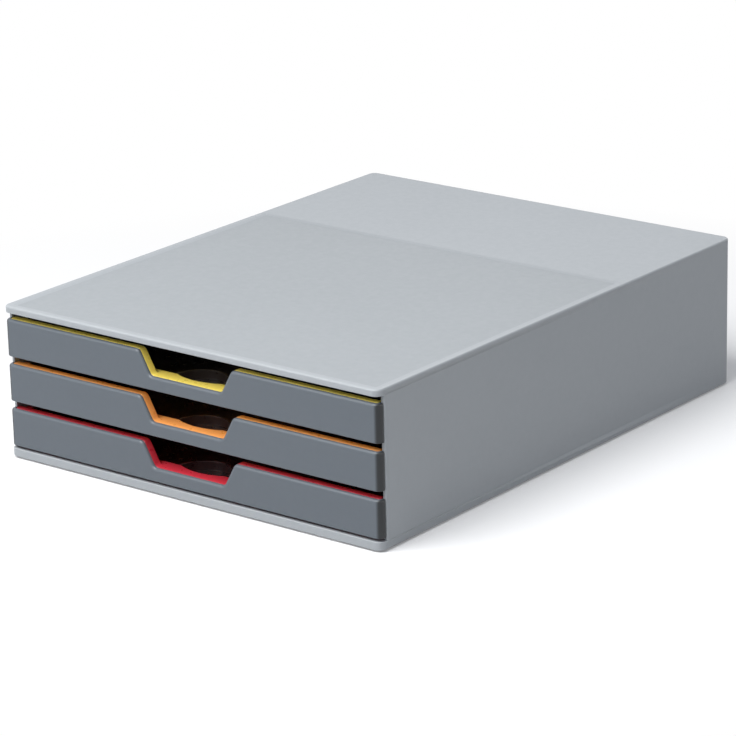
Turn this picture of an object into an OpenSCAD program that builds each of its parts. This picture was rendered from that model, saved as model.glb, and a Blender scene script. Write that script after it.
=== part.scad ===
// Flat desk drawer box with three drawers.
// A closed housing of five clipped panels stands on four rubber feet. Each drawer is a
// coloured tray that hangs by its rim on runners moulded into the side panels, with a
// dark fascia clipped over its front. A finger grip is cut through both.
// Millimetres. The origin is the centre of the footprint on the desk, the fronts face -Y.

/* [Housing] */
// Width over the side panels
body_w = 280; // [250:1:330]
// Depth from the front of the top cover to the back
body_d = 356; // [330:1:420]
// Thickness of the side panels and the back panel
wall_t = 2.2; // [1.8:0.1:2.6]
// Plan radius of the four upright corners
corner_r = 5; // [4:0.5:8]
// Radius of the outer edges of the top cover and the base
edge_r = 1.2; // [0.6:0.1:1.8]
// How far the side panels stand back from the front of the top cover
panel_set = 5.5; // [5:0.1:8]
// Radius on the front edge of a side panel
panel_edge_r = 1; // [0.4:0.1:1.4]
// How far a side panel runs round the back corner
return_w = 12; // [9:0.5:18]

/* [Top cover] */
// Thickness of the top cover at its edge
top_t = 4.2; // [4:0.1:6]
// Depth of the recessed field on top
recess_drop = 0.8; // [0.4:0.1:1.2]
// Width of the rim beside and before the recessed field
recess_rim = 4.5; // [3:0.5:8]
// Depth of the raised field behind the recessed one
rear_field = 117; // [90:1:150]
// Skin of the top cover and the base between their ribs
skin_t = 2; // [1.6:0.1:2.4]
// Solid border round the ribbed undersides
border_w = 8; // [7:0.5:12]
// Thickness of a stiffening rib
rib_t = 1.6; // [1.2:0.1:2.4]
// Ribbed cells across the width
cells_x = 4; // [3:1:6]
// Ribbed cells along the depth
cells_y = 5; // [3:1:7]

/* [Base and feet] */
// Thickness of the base at its edge
base_t = 5.4; // [5:0.1:8]
// Radius of a rubber foot
foot_r = 8; // [6:0.5:11]
// How far a foot stands out of the base
foot_proud = 0.8; // [0.6:0.1:2]
// Depth of the socket that a foot is glued into
foot_seat = 1.5; // [1:0.1:2.5]
// Distance of a foot's centre from both edges of the base
foot_inset = 26; // [20:1:50]
// Wall round a foot socket
foot_boss_t = 2; // [1.5:0.1:4]

/* [Drawer stack] */
// Height of a fascia
fascia_h = 23; // [21:0.5:32]
// Gap between the base and the lowest fascia
base_gap = 1.6; // [1.2:0.1:3]
// Gap between a fascia and the one above it
drawer_gap = 4.9; // [4.5:0.1:8]
// Gap between the top fascia and the top cover
top_gap = 4.2; // [3.4:0.1:6]
// How far a drawer pulls out before it meets its stop
pull_out = 250; // [180:5:260]

/* [Fascia] */
// Thickness of the fascia
fascia_t = 2.4; // [1.6:0.1:2.6]
// How far the fascia stands back from the front of the top cover
fascia_set = 0.6; // [0.3:0.1:1]
// How far the fascia's ends stay inside the width of the housing
fascia_side = 0.3; // [0.2:0.1:0.8]
// Radius along the upper front edge of the fascia
fascia_top_r = 1.8; // [1:0.1:2.2]
// Radius along the lower front edge of the fascia
fascia_edge_r = 0.8; // [0.3:0.1:1]
// Radius of the upright ends of the fascia
fascia_r = 4; // [3:0.1:4.4]
// Gap between the fascia's returns and the side panels
return_gap = 0.3; // [0.3:0.1:0.8]
// Width of a snap clip on the back of the fascia
clip_w = 8; // [5:0.5:14]
// Thickness of a snap clip
clip_t = 1.6; // [1.2:0.1:2.2]
// Height of the barb on a clip
clip_barb = 0.6; // [0.3:0.1:0.8]
// Distance of the outer clips from the side of the housing
clip_side = 28; // [20:1:45]
// Distance of the inner clips from the grip
clip_grip = 18; // [12:1:30]

/* [Finger grip] */
// Width of the grip at the top edge
grip_top = 69.6; // [60:0.2:80]
// Width of the grip at its floor
grip_bottom = 53.2; // [44:0.2:56]
// Depth of the grip below the top edge of the fascia
grip_h = 14.8; // [12:0.1:16]
// Radius of the grip's corners
grip_r = 3.6; // [2:0.1:5]
// Depth of the coloured band behind the fascia's edge
band_d = 7.2; // [7:0.1:9]
// Depth of the ledge at the grip's floor
ledge_d = 13; // [11:0.1:16]
// How far the ledge runs past the grip's floor on each side
ledge_side = 9; // [5:0.5:12]
// Width of the finger notch in the ledge
notch_w = 33; // [26:0.5:36]
// Depth of the finger notch
notch_d = 3.7; // [2:0.1:4.5]
// Radius of the finger pocket behind the ledge
pocket_r = 16.5; // [16.5:0.5:22]
// Wall round the finger pocket
pocket_t = 1.6; // [1.2:0.1:2]

/* [Tray] */
// Wall of the tray
tray_t = 1.8; // [1.4:0.1:2]
// Floor of the tray
floor_t = 1.8; // [1.4:0.1:2.4]
// Height of the tray's underside above the fascia's lower edge
tray_lift = 0.6; // [0.3:0.1:1.2]
// How far the tray's rim lies below the coloured band
rim_drop = 2; // [1.5:0.1:4]
// How far the rim stands out from the tray's walls
rim_w = 3; // [2.4:0.1:4]
// Thickness of the rim
rim_t = 1.8; // [1.4:0.1:2.4]
// Plan radius of the tray's rear corners
tray_r = 6; // [4:0.5:12]
// Gap between the tray and the back panel
rear_gap = 3; // [1:0.5:8]

/* [Runners] */
// Thickness of a runner
runner_t = 1.8; // [1.4:0.1:2.2]
// Gap between the rim and the runner under it
run_gap = 0.4; // [0.3:0.1:0.6]
// Gap between the tray's wall and the runners
wall_gap = 0.6; // [0.4:0.1:1]
// Gap between the rim and the side panel
rim_gap = 0.8; // [0.5:0.1:1.2]
// Height of the stop tab on the rim
stop_h = 2.2; // [1.6:0.1:2.2]
// Length of the stop tabs and the stop lugs along the drawer
stop_l = 6; // [4:0.5:10]
// Distance of the runners' front ends behind the top cover's front
runner_set = 12; // [10:0.5:18]

/* [Panel joints] */
// Thickness of the tongues that hold the panels together
tongue_t = 1.4; // [1:0.1:1.6]
// How far a tongue stands out of its wall, and how far it runs down the wall
tongue_h = 2.6; // [2:0.1:3]
// Length of a tongue
tongue_l = 14; // [8:1:24]
// Tongues along each edge of a side panel
side_tongues = 5; // [3:1:7]
// Tongues along each edge of the back panel
back_tongues = 3; // [2:1:5]
// Thickness of the laps that hold the back panel behind the side panels
lap_t = 1.6; // [1.2:0.1:2]
// Width of a lap on each side of the joint that it covers
lap_w = 7; // [5:0.5:8]
// Play between pieces that are clipped together
fit = 0.1; // [0.05:0.05:0.2]

/* [Hidden] */
$fn = 64;

housing_grey = "#bcc2c7";
fascia_grey = "#6d7278";
foot_grey = "#2c2d2f";
tray_yellow = "#f3d53c";
tray_orange = "#f2923a";
tray_red = "#cf2440";

corner_fn = 32;   // sides of the rounded corners that are blended into the shells
past = 1;         // how far a cutting solid runs past the face that it opens
root = 0.1;       // how deep a rib, runner or tongue is rooted in the wall that carries it

// Heights, from the desk up
base_top = foot_proud + base_t;
drawer_pitch = fascia_h + drawer_gap;
function drawer_z(level) = base_top + base_gap + level * drawer_pitch;
cover_z = drawer_z(2) + fascia_h + top_gap;
body_h = cover_z + top_t;

// Planes along the depth
front_y = -body_d / 2;
back_y = body_d / 2;
panel_y = front_y + panel_set;
fascia_y = front_y + fascia_set;
tray_y = fascia_y + fascia_t;
band_y = fascia_y + band_d;
ledge_y = fascia_y + ledge_d;
return_y = panel_y - return_gap;
lap_y = back_y - wall_t - fit - lap_t;
tray_back_y = lap_y - rear_gap;
runner_y = front_y + runner_set;
runner_back_y = lap_y - fit;

// Planes across the width, on the right-hand side
side_x = body_w / 2;
inner_x = side_x - wall_t;
fascia_x = side_x - fascia_side;
band_front_x = fascia_x - fascia_t - fit;
rim_x = inner_x - rim_gap;
tray_x = rim_x - rim_w;
runner_x = tray_x + wall_gap;

// Heights inside a drawer, above the lower edge of its fascia
rim_z = fascia_h - rim_drop;
rim_under_z = rim_z - rim_t;
runner_top_z = rim_under_z - run_gap;
guide_z = rim_z + stop_h + run_gap;
ledge_z = fascia_h - grip_h;
clip_z = ledge_z + grip_h / 5;

// Rounded outline through given corners, each with its own radius
function corner_arc(before, corner, after, r, steps) =
    let (u = (before - corner) / norm(before - corner),
         v = (after - corner) / norm(after - corner),
         half = acos(u * v) / 2,
         centre = corner + (u + v) / norm(u + v) * r / sin(half),
         start = corner + u * r / tan(half) - centre,
         stop = corner + v * r / tan(half) - centre,
         from = atan2(start.y, start.x),
         sweep = atan2(cross(start, stop), start * stop))
    [for (i = [0 : steps]) centre + r * [cos(from + sweep * i / steps), sin(from + sweep * i / steps)]];

function rounded(points, radii, steps = 7) =
    let (n = len(points))
    [for (i = [0 : n - 1])
        each (radii[i] <= 0 ? [points[i]]
              : corner_arc(points[(i + n - 1) % n], points[i], points[(i + 1) % n], radii[i], steps))];

// Moves each side of a counter-clockwise outline inwards by t
function inset_point(before, corner, after, t) =
    let (u = (corner - before) / norm(corner - before),
         v = (after - corner) / norm(after - corner),
         a = [-u.y, u.x],
         b = [-v.y, v.x])
    corner + (a + b) * t / (1 + a * b);

function inset(points, t) =
    let (n = len(points))
    [for (i = [0 : n - 1]) inset_point(points[(i + n - 1) % n], points[i], points[(i + 1) % n], t)];

// Front elevation of a drawer front: a wide plate with the finger grip let into its top edge
function front_corners(half_w, low) =
    [[-half_w, low], [half_w, low], [half_w, fascia_h],
     [grip_top / 2, fascia_h], [grip_bottom / 2, ledge_z],
     [-grip_bottom / 2, ledge_z], [-grip_top / 2, fascia_h], [-half_w, fascia_h]];

function front_radii(outer, inner) = [0, 0, 0, outer, inner, inner, outer, 0];

module block(low, high) {
    translate(low) cube(high - low);
}

// Extrudes an x-z outline from y0 back to y1
module along_y(y0, y1) {
    translate([0, y1, 0]) rotate([90, 0, 0]) linear_extrude(y1 - y0) children();
}

// Extrudes a y-z outline from x0 to x1
module along_x(x0, x1) {
    translate([x0, 0, 0]) rotate([90, 0, 90]) linear_extrude(x1 - x0) children();
}

module plan_rect(w, d, r) {
    square([w - 2 * r, d], center = true);
    square([w, d - 2 * r], center = true);
    for (x = [-1, 1], y = [-1, 1])
        translate([x * (w / 2 - r), y * (d / 2 - r)]) circle(r);
}

// Plate with rounded upright corners and softened top or bottom edges
module soft_plate(h, top_r, bottom_r) {
    half = rounded([[0, 0], [corner_r, 0], [corner_r, h], [0, h]], [0, bottom_r, top_r, 0], 4);
    hull()
        for (x = [-1, 1], y = [-1, 1])
            translate([x * (side_x - corner_r), y * (back_y - corner_r), 0])
                rotate_extrude($fn = corner_fn) polygon(half);
}

// Cells between the ribs of the top cover and the base, h deep
module rib_cells(h) {
    field = [body_w - 2 * border_w, body_d - 2 * border_w];
    cell = [(field.x - (cells_x - 1) * rib_t) / cells_x, (field.y - (cells_y - 1) * rib_t) / cells_y];
    for (i = [0 : cells_x - 1], j = [0 : cells_y - 1])
        translate([-field.x / 2 + i * (cell.x + rib_t), -field.y / 2 + j * (cell.y + rib_t), 0])
            cube([cell.x, cell.y, h]);
}

// Centres of n tongues spread between two places
function spread(from, to, n) = [for (i = [0 : n - 1]) from + (to - from) * (i + 0.5) / n];

side_tongue_y = spread(runner_y, lap_y, side_tongues);
back_tongue_x = spread(-side_x + return_w, side_x - return_w, back_tongues);

// One tongue and its foot on the inner face of a wall, at the panels' upper or lower edge.
// grow makes the slot that it seats in.
module tongue(size, grow) {
    translate([-size.x / 2 - grow, -size.y / 2 - grow, -tongue_h - grow])
        cube([size.x + 2 * grow, size.y + 2 * grow, 2 * tongue_h + 2 * grow]);
}

module side_tongues_at(z, grow) {
    for (y = side_tongue_y)
        translate([inner_x + (root - tongue_t) / 2, y, z])
            tongue([tongue_t + root, tongue_l], grow);
}

module back_tongues_at(z, grow) {
    for (x = back_tongue_x)
        translate([x, back_y - wall_t + (root - tongue_t) / 2, z])
            tongue([tongue_l, tongue_t + root], grow);
}

module tongue_slots(z) {
    side_tongues_at(z, fit);
    mirror([1, 0, 0]) side_tongues_at(z, fit);
    back_tongues_at(z, fit);
}

module top_cover() {
    color(housing_grey)
        difference() {
            translate([0, 0, cover_z]) soft_plate(top_t, edge_r, 0);
            block([-side_x + recess_rim, front_y + recess_rim, body_h - recess_drop],
                  [side_x - recess_rim, back_y - rear_field, body_h + past]);
            translate([0, 0, cover_z - past]) rib_cells(top_t - recess_drop - skin_t + past);
            tongue_slots(cover_z);
        }
}

module at_feet() {
    for (x = [-1, 1], y = [-1, 1])
        translate([x * (side_x - foot_inset), y * (back_y - foot_inset), 0]) children();
}

module base_plate() {
    color(housing_grey)
        difference() {
            translate([0, 0, foot_proud]) soft_plate(base_t, 0, edge_r);
            difference() {
                rib_cells(base_top - skin_t);
                at_feet() cylinder(h = base_top, r = foot_r + fit + foot_boss_t);
            }
            at_feet() cylinder(h = foot_proud + foot_seat, r = foot_r + fit);
            tongue_slots(base_top);
        }
}

module foot(x, y) {
    height = foot_proud + foot_seat;
    outline = rounded([[0, 0], [foot_r, 0], [foot_r, height], [0, height]],
                      [0, foot_proud / 2, 0, 0], 4);
    color(foot_grey)
        translate([x * (side_x - foot_inset), y * (back_y - foot_inset), 0])
            rotate_extrude() polygon(outline);
}

// Plan of the right-hand side panel: the wall, the back corner and its return
module side_plan() {
    difference() {
        intersection() {
            difference() {
                plan_rect(body_w, body_d, corner_r);
                plan_rect(body_w - 2 * wall_t, body_d - 2 * wall_t, corner_r - wall_t);
            }
            translate([side_x - return_w, panel_y]) square([return_w, back_y - panel_y]);
        }
        translate([side_x - panel_edge_r, panel_y])
            difference() {
                square(panel_edge_r);
                translate([0, panel_edge_r]) circle(panel_edge_r);
            }
    }
}

// Runner under a drawer's rim, with a lead-in at its front end
module runner(z) {
    lead = runner_t / 2;
    along_x(runner_x, inner_x + root)
        polygon([[runner_y, z], [runner_back_y, z], [runner_back_y, z + runner_t],
                 [runner_y + 4 * lead, z + runner_t], [runner_y, z + lead]]);
}

// Guide above the rim, with the stop lug that the rim's tab runs against
module guide(z) {
    lead = runner_t / 2;
    along_x(runner_x, inner_x + root)
        polygon([[runner_y, z + lead], [runner_y + 4 * lead, z], [runner_back_y, z],
                 [runner_back_y, z + runner_t], [runner_y, z + runner_t]]);
    block([runner_x, runner_y + 2 * lead, z - stop_h + fit],
          [inner_x + root, runner_y + 2 * lead + stop_l, z + runner_t]);
}

stop_y = runner_y + runner_t + stop_l;   // the rear face of the stop lugs

module side_panel() {
    translate([0, 0, base_top]) linear_extrude(cover_z - base_top) side_plan();
    for (level = [0 : 2]) {
        runner(drawer_z(level) + runner_top_z - runner_t);
        guide(drawer_z(level) + guide_z);
    }
    side_tongues_at(base_top, 0);
    side_tongues_at(cover_z, 0);
}

module right_side_panel() {
    color(housing_grey) side_panel();
}

module left_side_panel() {
    color(housing_grey) mirror([1, 0, 0]) side_panel();
}

module back_panel() {
    joint_x = side_x - return_w;
    color(housing_grey) {
        block([-joint_x + fit, back_y - wall_t, base_top], [joint_x - fit, back_y, cover_z]);
        for (s = [0, 1]) mirror([s, 0, 0]) {
            block([joint_x - lap_w, lap_y, base_top], [joint_x - fit, back_y - wall_t, cover_z]);
            block([joint_x - lap_w, lap_y, base_top + tongue_h + fit],
                  [joint_x + lap_w, lap_y + lap_t, cover_z - tongue_h - fit]);
        }
        back_tongues_at(base_top, 0);
        back_tongues_at(cover_z, 0);
    }
}

// Plan of a fascia: a plate with rounded ends and short returns
module fascia_plan() {
    depth = return_y - fascia_y;
    difference() {
        end_rounded_plan(fascia_x, depth, fascia_r);
        translate([0, fascia_t]) end_rounded_plan(fascia_x - fascia_t, depth, fascia_r - fascia_t);
    }
}

// Plan of half-width half_w from y = 0 back to depth, rounded at its two front corners
module end_rounded_plan(half_w, depth, r) {
    intersection() {
        translate([0, depth]) plan_rect(2 * half_w, 2 * depth, r);
        translate([-half_w, 0]) square([2 * half_w, depth]);
    }
}

// Upright section of a fascia, rounded along its upper and lower front edges
function fascia_section() =
    let (top_r = min(fascia_top_r, fascia_t - fit))
    rounded([[fascia_y, 0], [return_y, 0], [return_y, fascia_h], [fascia_y, fascia_h]],
            [fascia_edge_r, 0, 0, top_r], 4);

clip_x = [grip_top / 2 + clip_grip, side_x - clip_side];

// Snap clip: a tongue with a barb that springs behind the tray's front wall
module clip(x) {
    behind_y = tray_y + tray_t + fit;
    tip_y = band_y - tray_t - 3 * fit;
    along_x(x - clip_w / 2, x + clip_w / 2)
        polygon([[tray_y - fascia_t / 2, clip_z - clip_t / 2], [tip_y, clip_z - clip_t / 2],
                 [tip_y, clip_z + clip_t / 4], [behind_y, clip_z + clip_t / 2 + clip_barb],
                 [behind_y, clip_z + clip_t / 2], [tray_y - fascia_t / 2, clip_z + clip_t / 2]]);
}

module clip_window(x) {
    block([x - clip_w / 2 - fit, tray_y - past, clip_z - clip_t / 2 - fit],
          [x + clip_w / 2 + fit, tray_y + tray_t + past / 2, clip_z + clip_t / 2 + fit]);
}

module fascia(level) {
    color(fascia_grey)
        translate([0, 0, drawer_z(level)]) {
            intersection() {
                translate([0, fascia_y, 0]) linear_extrude(fascia_h) fascia_plan();
                along_y(fascia_y - past, return_y + past)
                    polygon(rounded(front_corners(side_x, 0), front_radii(grip_r, grip_r)));
                along_x(-side_x, side_x) polygon(fascia_section());
            }
            for (x = clip_x, s = [-1, 1]) clip(s * x);
        }
}

// Hollow front of a tray. Its top face is the coloured band, which follows the grip.
module tray_front() {
    step_y = return_y - tray_y;
    difference() {
        intersection() {
            translate([0, tray_y, tray_lift])
                linear_extrude(fascia_h - tray_lift) {
                    end_rounded_plan(band_front_x, step_y, fascia_r - fascia_t + fit);
                    translate([-rim_x, step_y - fit]) square([2 * rim_x, band_y - return_y + fit]);
                }
            along_y(tray_y - past, band_y + past)
                polygon(rounded(front_corners(side_x, 0), front_radii(grip_r, grip_r)));
        }
        along_y(tray_y + tray_t, band_y - tray_t)
            polygon(rounded(inset(front_corners(rim_x, -tray_t - past), tray_t),
                            front_radii(max(grip_r - tray_t, 0.2), grip_r + tray_t)));
        for (x = clip_x, s = [-1, 1]) clip_window(s * x);
    }
}

// Plan of the tray behind its front, rounded at its two rear corners
module tray_plan(half_w, r) {
    depth = tray_back_y - band_y + tray_t;
    translate([0, tray_back_y]) mirror([0, 1]) end_rounded_plan(half_w, depth, r);
}

// Plan of the finger pocket: a half circle behind the ledge and a shallow notch in the ledge
notch_r = (pow(notch_w / 2, 2) + pow(notch_d, 2)) / (2 * notch_d);

module pocket_plan(grow) {
    intersection() {
        translate([0, ledge_y]) circle(pocket_r + grow);
        translate([-2 * pocket_r, ledge_y]) square(4 * pocket_r);
    }
    intersection() {
        translate([0, ledge_y - notch_d + notch_r]) circle(notch_r + grow);
        translate([-notch_w / 2 - grow, band_y]) square([notch_w + 2 * grow, ledge_y - band_y + fit]);
    }
}

module grip_ledge() {
    half_w = grip_bottom / 2 + ledge_side;
    difference() {
        union() {
            block([-half_w, band_y - tray_t / 2, ledge_z - tray_t], [half_w, ledge_y, ledge_z]);
            block([-half_w, ledge_y - pocket_t, tray_lift], [half_w, ledge_y, ledge_z]);
            translate([0, 0, tray_lift]) linear_extrude(ledge_z - tray_lift) pocket_plan(pocket_t);
        }
        translate([0, 0, tray_lift + floor_t]) linear_extrude(ledge_z) pocket_plan(0);
    }
}

module tray_rim() {
    tab_y = stop_y + pull_out + fit;
    for (s = [0, 1]) mirror([s, 0, 0]) {
        block([tray_x - tray_t, band_y - tray_t / 2, rim_under_z],
              [rim_x, tray_back_y - tray_r, rim_z]);
        block([tray_x, tab_y, rim_under_z], [rim_x, tab_y + stop_l, rim_z + stop_h - fit]);
    }
}

module tray(level, colour) {
    color(colour)
        translate([0, 0, drawer_z(level)]) {
            tray_front();
            translate([0, 0, tray_lift]) {
                linear_extrude(rim_z - tray_lift)
                    difference() {
                        tray_plan(tray_x, tray_r);
                        translate([0, -tray_t]) tray_plan(tray_x - tray_t, tray_r - tray_t);
                    }
                linear_extrude(floor_t) tray_plan(tray_x, tray_r);
            }
            grip_ledge();
            tray_rim();
        }
}

top_cover();
base_plate();
left_side_panel();
right_side_panel();
back_panel();
tray(2, tray_yellow);  // yellow_tray
tray(1, tray_orange);  // orange_tray
tray(0, tray_red);  // red_tray
fascia(2);  // upper_fascia
fascia(1);  // middle_fascia
fascia(0);  // lower_fascia
foot(-1, -1);  // front_left_foot
foot(1, -1);  // front_right_foot
foot(-1, 1);  // rear_left_foot
foot(1, 1);  // rear_right_foot
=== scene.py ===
import math

import bmesh
import bpy
from mathutils import Matrix, Vector


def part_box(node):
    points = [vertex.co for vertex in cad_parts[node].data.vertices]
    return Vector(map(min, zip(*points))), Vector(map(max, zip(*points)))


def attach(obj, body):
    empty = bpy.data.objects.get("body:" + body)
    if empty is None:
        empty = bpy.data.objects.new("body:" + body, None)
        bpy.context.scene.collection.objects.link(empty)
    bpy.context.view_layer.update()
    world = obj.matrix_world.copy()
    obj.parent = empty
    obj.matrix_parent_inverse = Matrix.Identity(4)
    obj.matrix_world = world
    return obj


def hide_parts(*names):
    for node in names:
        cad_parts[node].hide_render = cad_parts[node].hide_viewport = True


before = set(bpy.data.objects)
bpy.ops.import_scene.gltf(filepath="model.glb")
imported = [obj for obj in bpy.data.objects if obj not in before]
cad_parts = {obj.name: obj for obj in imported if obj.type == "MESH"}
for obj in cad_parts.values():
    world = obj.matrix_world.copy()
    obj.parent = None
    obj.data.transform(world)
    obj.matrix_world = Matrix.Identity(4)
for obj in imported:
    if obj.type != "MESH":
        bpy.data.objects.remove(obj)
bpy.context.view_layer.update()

unit = 0.001  # shapes are written in millimetres and stored in metres
past = 2.0  # how far a cutting shape runs past the face that it opens
bite = 0.2  # how far a rib, runner or guide is sunk into the wall that carries it
root = 0.5  # the same for a boss, lap or clip
close = 0.01  # heights that differ by less count as one
slack = 0.05  # how far past a limit a point or a face still counts as on it


def nodeBox(node):
    low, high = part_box(node)
    return [round(c / unit, 2) for c in low], [round(c / unit, 2) for c in high]


# Camera: a long lens from the front right, a little above the desk

cameraSet = {
    "position": (1.2554, -1.5940, 0.7074),
    "heading": (-0.58925, 0.74384, -0.31541),
    "roll": -1.375,  # degrees
    "lens": 171.82,
    "sensor": 36.0,
    "near": 0.05,
    "far": 40,
}


def makeCamera(look):
    data = bpy.data.cameras.new("photoCamera")
    data.lens = look["lens"]
    data.sensor_width = look["sensor"]
    data.clip_start = look["near"]
    data.clip_end = look["far"]
    forward = Vector(look["heading"]).normalized()
    level = forward.cross(Vector((0, 0, 1))).normalized()
    lift = level.cross(forward)
    roll = math.radians(look["roll"])
    right = level * math.cos(roll) + lift * math.sin(roll)
    up = lift * math.cos(roll) - level * math.sin(roll)
    turn = Matrix((right, up, -forward)).transposed().to_4x4()
    camera = bpy.data.objects.new("photoCamera", data)
    camera.matrix_world = Matrix.Translation(Vector(look["position"])) @ turn
    bpy.context.scene.collection.objects.link(camera)
    bpy.context.scene.camera = camera


makeCamera(cameraSet)
print("camera ready")

# Materials: satin moulded polystyrene in the housing, the fronts and the trays, and rubber feet


def addNode(tree, kind, **values):
    node = tree.nodes.new(kind)
    for key, value in values.items():
        setattr(node, key, value)
    return node


def noiseAt(tree, coordinates, scaleAndDetail):
    noise = addNode(tree, "ShaderNodeTexNoise")
    noise.inputs["Scale"].default_value, noise.inputs["Detail"].default_value = scaleAndDetail
    tree.links.new(coordinates, noise.inputs["Vector"])
    return noise.outputs["Fac"]


def spread(tree, source, low, high, fromLow=0.3, fromHigh=0.7):
    fit = addNode(tree, "ShaderNodeMapRange")
    fit.inputs["From Min"].default_value = fromLow
    fit.inputs["From Max"].default_value = fromHigh
    fit.inputs["To Min"].default_value = low
    fit.inputs["To Max"].default_value = high
    tree.links.new(source, fit.inputs["Value"])
    return fit.outputs["Result"]


def mixColour(tree, amount, first, second):
    mix = addNode(tree, "ShaderNodeMix", data_type="RGBA")
    tree.links.new(amount, mix.inputs["Factor"])
    for place, value in ((6, first), (7, second)):  # the two colour sockets of a Mix node
        if isinstance(value, tuple):
            mix.inputs[place].default_value = (*value, 1)
        else:
            tree.links.new(value, mix.inputs[place])
    return mix.outputs[2]


def scaled(colour, factor):
    return tuple(min(c * factor, 1) for c in colour)


def maths(tree, operation, first, second):
    node = addNode(tree, "ShaderNodeMath", operation=operation)
    for place, value in enumerate((first, second)):
        if isinstance(value, (int, float)):
            node.inputs[place].default_value = value
        else:
            tree.links.new(value, node.inputs[place])
    return node.outputs[0]


def bump(tree, height, strength, depth, below=None):
    node = addNode(tree, "ShaderNodeBump")
    node.inputs["Strength"].default_value = strength
    node.inputs["Distance"].default_value = depth
    tree.links.new(height, node.inputs["Height"])
    if below:
        tree.links.new(below, node.inputs["Normal"])
    return node.outputs["Normal"]


def mouldedPlastic(name, look):
    material = bpy.data.materials.new(name)
    material.use_nodes = True
    tree = material.node_tree
    shader = tree.nodes["Principled BSDF"]
    place = addNode(tree, "ShaderNodeTexCoord").outputs["Object"]
    softEdgeMask = addNode(tree, "ShaderNodeAttribute", attribute_name="softEdge").outputs["Fac"]
    paintedShade = addNode(tree, "ShaderNodeAttribute", attribute_name="paintedShadeFace").outputs["Fac"]

    cloud = noiseAt(tree, place, look["cloudNoise"])  # flow of the melt, a hand wide
    mottle = noiseAt(tree, place, look["mottleNoise"])
    tone = mixColour(tree, spread(tree, cloud, 0, 1), scaled(look["colour"], 1 - look["cloud"]),
                     scaled(look["colour"], 1 + look["cloud"]))
    fleck = mixColour(tree, spread(tree, mottle, 0, look["mottle"]), tone,
                      scaled(look["colour"], look["fleckShade"]))
    # wear and painted highlight: the soft edges are lightened towards a paler colour
    edgeWearAndHighlight = maths(tree, "MULTIPLY", softEdgeMask, spread(tree, mottle, look["wearAndHighlight"] / 2, look["wearAndHighlight"]))
    wearAndHighlighted = mixColour(tree, edgeWearAndHighlight, fleck, look["wearAndHighlightColour"])
    # painted shade: faces turned in towards a gap, and the insides of the trays, are darkened
    # towards a shade colour
    paintedDarkening = maths(tree, "MULTIPLY", paintedShade, look["paintedShadeStrength"])
    tree.links.new(mixColour(tree, paintedDarkening, wearAndHighlighted, look["paintedShadeColour"]), shader.inputs["Base Color"])

    matt = spread(tree, mottle, look["roughness"] - look["smoother"],
                  look["roughness"] + look["rougher"])
    polish = maths(tree, "MULTIPLY", softEdgeMask, look["edgePolish"])
    tree.links.new(maths(tree, "SUBTRACT", matt, polish), shader.inputs["Roughness"])

    # slow sink marks bend the reflections a little, and the mould's fine grain lies on them
    ripple = noiseAt(tree, place, look["rippleNoise"])
    grain = noiseAt(tree, place, look["grainNoise"])
    slow = bump(tree, ripple, look["ripple"], look["rippleDepth"])
    fine = bump(tree, grain, look["grain"], look["grainDepth"], slow)
    tree.links.new(fine, shader.inputs["Normal"])
    shader.inputs["IOR"].default_value = look["ior"]
    return material


plastic = {
    "colour": (0.388, 0.412, 0.432),
    "wearAndHighlightColour": (0.60, 0.62, 0.63),
    "wearAndHighlight": 0.15,
    "cloud": 0.012,
    "cloudNoise": (9, 3),  # scale and detail, as in the other noises
    "mottle": 0.05,
    "mottleNoise": (260, 4),
    "fleckShade": 0.8,
    "roughness": 0.5,
    "smoother": 0.04,  # how far the mottle takes the roughness down and up
    "rougher": 0.05,
    "edgePolish": 0.08,
    "grain": 0.25,
    "grainNoise": (2600, 2),
    "grainDepth": 0.0001,  # metres
    "ripple": 0.03,
    "rippleNoise": (30, 1),
    "rippleDepth": 0.001,
    # painted shade: how strongly, and to what colour, shaded faces are darkened (none on the
    # housing)
    "paintedShadeStrength": 0.0,
    "paintedShadeColour": (0.05, 0.05, 0.05),
    "ior": 1.5,
}

housingGrey = mouldedPlastic("housingGrey", plastic)
recessGrey = mouldedPlastic("recessGrey", {
    **plastic, "colour": (0.328, 0.352, 0.37), "roughness": 0.45,
    "grain": 0.45, "grainNoise": (1800, 2),
})
# the fronts' turned-back ends are darkened to a near-black painted shade
fasciaGrey = mouldedPlastic("fasciaGrey", {
    **plastic, "colour": (0.112, 0.131, 0.152), "wearAndHighlightColour": (0.2, 0.22, 0.24), "roughness": 0.45,
    "wearAndHighlight": 0.05, "paintedShadeStrength": 1.0, "paintedShadeColour": (0.012, 0.014, 0.016),
})
# the trays' insides are darkened to a painted shade, a deep tone of each tray's colour
trayLook = {
    **plastic, "wearAndHighlight": 0.2, "roughness": 0.3, "grain": 0.12, "cloud": 0.02, "paintedShadeStrength": 1.0,
}
trayYellow = mouldedPlastic("trayYellow", {
    **trayLook, "colour": (1.0, 0.77, 0.14), "wearAndHighlightColour": (1.0, 0.88, 0.35),
    "paintedShadeColour": (0.05, 0.036, 0.03),
})
trayOrange = mouldedPlastic("trayOrange", {
    **trayLook, "colour": (0.98, 0.4, 0.11), "wearAndHighlightColour": (1.0, 0.52, 0.2),
    "paintedShadeColour": (0.058, 0.03, 0.026),
})
trayRed = mouldedPlastic("trayRed", {
    **trayLook, "colour": (0.62, 0.035, 0.06), "wearAndHighlightColour": (0.78, 0.12, 0.14),
    "paintedShadeColour": (0.05, 0.024, 0.026),
})
footRubber = mouldedPlastic("footRubber", {
    **plastic, "colour": (0.022, 0.022, 0.024), "wearAndHighlightColour": (0.06, 0.06, 0.06), "roughness": 0.75,
    "grain": 0.6, "grainNoise": (1500, 2),
})
print("materials ready")

# Shapes: outlines with rounded corners, solids from them, cuts and soft edges

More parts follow.
